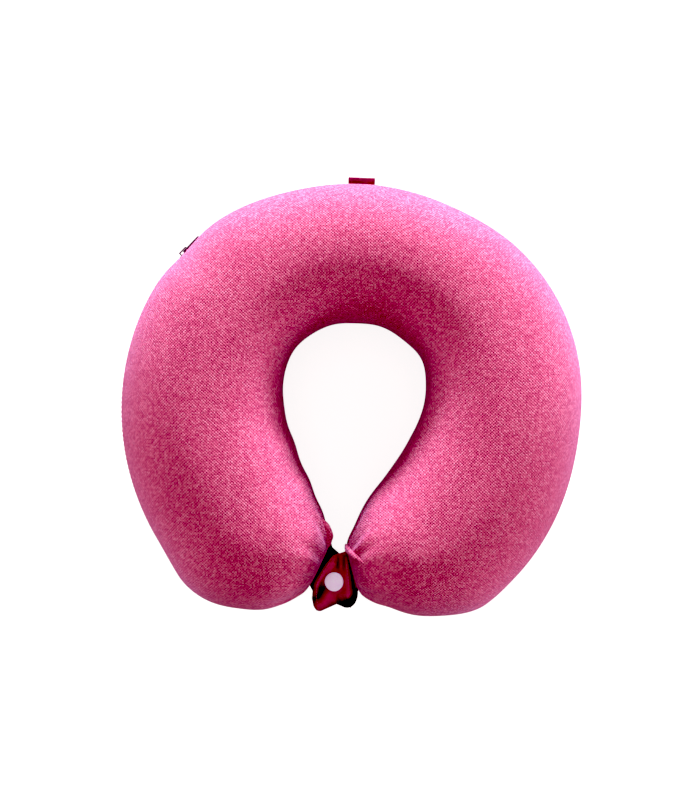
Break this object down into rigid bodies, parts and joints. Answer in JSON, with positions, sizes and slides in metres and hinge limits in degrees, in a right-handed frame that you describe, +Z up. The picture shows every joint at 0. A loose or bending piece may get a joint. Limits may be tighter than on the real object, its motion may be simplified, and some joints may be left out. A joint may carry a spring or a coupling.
{
  "type": "u shaped neck pillow",
  "caption": "U-shaped foam neck pillow with a zipped knitted cover, two snap-together tabs across the opening and a hang loop at the back.",
  "frame": {"origin": "middle of the footprint, on the surface the pillow lies on", "axes": "+Z up, +Y towards the back of the neck, +X towards the right arm; the opening faces -Y"},
  "size_m": [0.3019, 0.29, 0.105],
  "materials": {
    "cover": "matte",
    "tab_cloth": "matte",
    "liner": "matte",
    "foam": "matte",
    "zip_tape": "matte",
    "zip_coil": "satin",
    "zip_metal": "satin",
    "snap_plastic": "satin"
  },
  "bodies": {
    "left_half": {"foam_core_left": "foam", "liner_left": "liner", "cover_top_left": "cover", "cover_bottom_left": "cover", "zip_tape_upper": "zip_tape", "zip_tape_lower": "zip_tape", "zip_coil_upper": "zip_coil", "zip_coil_lower": "zip_coil", "zip_top_stops": "zip_metal", "zip_bottom_stop": "zip_metal"},
    "right_half": {"foam_core_right": "foam", "liner_right": "liner", "cover_top_right": "cover", "cover_bottom_right": "cover"},
    "front_strap": {"tab_front": "tab_cloth", "snap_cap_front": "snap_plastic", "snap_socket": "snap_plastic"},
    "rear_strap": {"tab_rear": "tab_cloth", "snap_stud": "snap_plastic", "snap_cap_rear": "snap_plastic"},
    "slider": {"zip_slider": "zip_metal"},
    "puller": {"zip_puller": "zip_metal"},
    "back_loop": {"hang_loop": "tab_cloth"}
  },
  "joints": [
    {"name": "arms_open", "type": "hinge", "parent": "left_half", "child": "right_half", "pos_m": [0, 0.13798, 0.05], "axis": [0, 0, 1], "range_deg": [0, 25], "stiffness_Nm_per_rad": 1.5},
    {"name": "front_tab_lift", "type": "hinge", "parent": "right_half", "child": "front_strap", "pos_m": [0.00855, -0.11557, 0.0524], "axis": [-0.3342, 0.9425, 0], "range_deg": [0, 70]},
    {"name": "rear_tab_drop", "type": "hinge", "parent": "left_half", "child": "rear_strap", "pos_m": [-0.00855, -0.11557, 0.046], "axis": [0.3342, 0.9425, 0], "range_deg": [0, 70]},
    {"name": "zip_run", "type": "hinge", "parent": "left_half", "child": "slider", "pos_m": [0, -0.01302, 0.05], "axis": [0, 0, 1], "range_deg": [0, 70]},
    {"name": "puller_swing", "type": "hinge", "parent": "slider", "child": "puller", "pos_m": [-0.12091, 0.07976, 0.05], "axis": [0, 0, 1], "range_deg": [0, 175]},
    {"name": "loop_bend", "type": "hinge", "parent": "left_half", "child": "back_loop", "pos_m": [-0.00957, 0.13908, 0.05], "axis": [0.998, 0.0628, 0], "range_deg": [-60, 60]}
  ]
}
